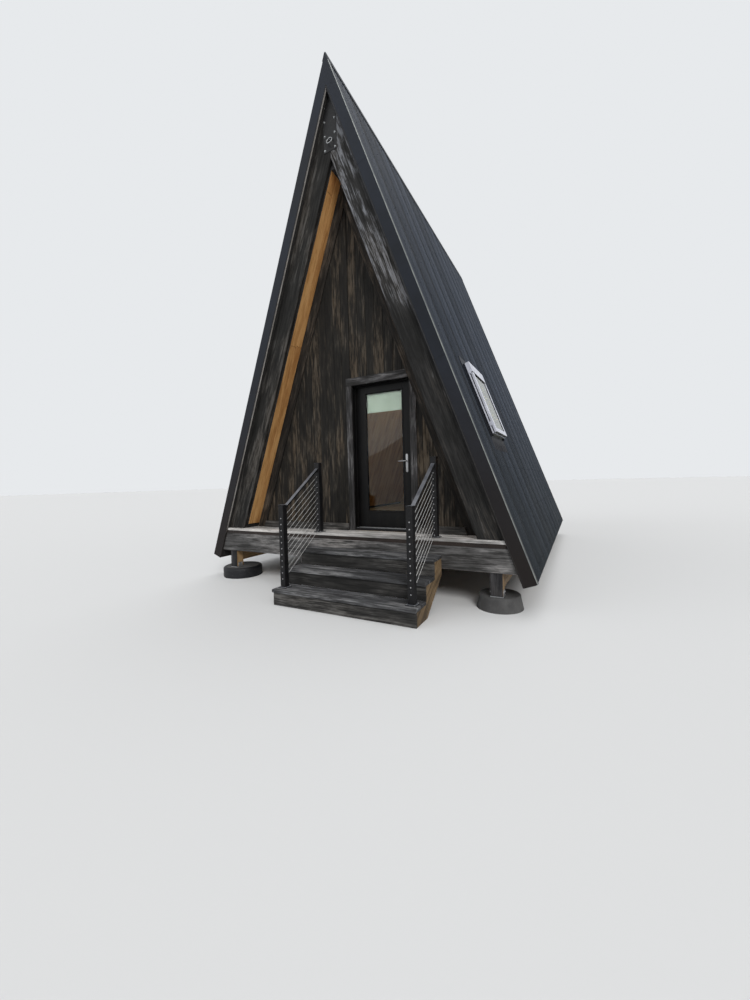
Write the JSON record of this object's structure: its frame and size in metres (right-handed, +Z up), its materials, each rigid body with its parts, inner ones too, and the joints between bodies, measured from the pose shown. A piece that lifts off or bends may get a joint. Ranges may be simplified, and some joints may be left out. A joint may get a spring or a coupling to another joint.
{
  "type": "a-frame cabin",
  "caption": "Steep A-frame cabin on round piers, with a metal roof, a recessed boarded front with a glazed door, and a front stair with cable rails.",
  "frame": {"origin": "middle of the bounding box on the ground", "axes": "+Z up; -Y out of the front, where the stair is; +X to the right as seen from the front, towards the door"},
  "size_m": [5.1442, 7.7349, 7.3816],
  "materials": {
    "concrete": "rough cast",
    "galvanised_steel": "dull",
    "charred_wood": "black stained, rough",
    "weathered_wood": "weathered grey",
    "natural_wood": "oiled",
    "plywood": "raw",
    "roof_metal": "satin",
    "black_steel": "powder coated, satin",
    "stainless_steel": "satin",
    "black_paint": "satin paint",
    "glass": "clear",
    "blind_cloth": "matt",
    "window_cladding": "satin"
  },
  "bodies": {
    "cabin": {"piers": "concrete", "post_shoes": "galvanised_steel", "posts": "charred_wood", "side_beams": "natural_wood", "floor_joists": "natural_wood", "rim_boards": "charred_wood", "side_rims": "charred_wood", "floor": "plywood", "porch_decks": "weathered_wood", "stair_stringers": "natural_wood", "stair_treads": "weathered_wood", "stair_risers": "charred_wood", "rail_posts": "black_steel", "rail_bars": "black_steel", "rail_cables": "stainless_steel", "front_rafters": "charred_wood", "back_rafters": "charred_wood", "gusset_plates": "black_steel", "apex_blocks": "charred_wood", "roof_left": "charred_wood", "roof_right": "charred_wood", "linings": "natural_wood", "roof_sheets": "roof_metal", "ridge_cap": "roof_metal", "rake_trims": "roof_metal", "eave_trims": "roof_metal", "front_wall_left": "charred_wood", "front_wall_right": "charred_wood", "front_wall_over": "charred_wood", "back_wall": "charred_wood", "wall_trims": "charred_wood", "base_boards": "charred_wood", "door_casing": "charred_wood", "door_frame": "black_paint", "door_sill": "galvanised_steel", "door_hinges": "stainless_steel", "window_frames": "natural_wood", "window_sashes": "window_cladding", "window_glass": "glass", "window_aprons": "roof_metal"},
    "door": {"door_leaf": "black_paint", "door_glass": "glass", "door_blind": "blind_cloth", "handle_plates": "stainless_steel"},
    "lever": {"door_lever": "stainless_steel"}
  },
  "joints": [
    {"name": "door_hinge", "type": "hinge", "parent": "cabin", "child": "door", "pos_m": [0.053, -2.4745, 1.895], "axis": [0, 0, 1], "range_deg": [0, 95]},
    {"name": "lever_turn", "type": "hinge", "parent": "door", "child": "lever", "pos_m": [0.85302, -2.504, 1.81], "axis": [0, -1, 0], "range_deg": [0, 40], "stiffness_Nm_per_rad": 3, "springref_deg": -34.38}
  ]
}
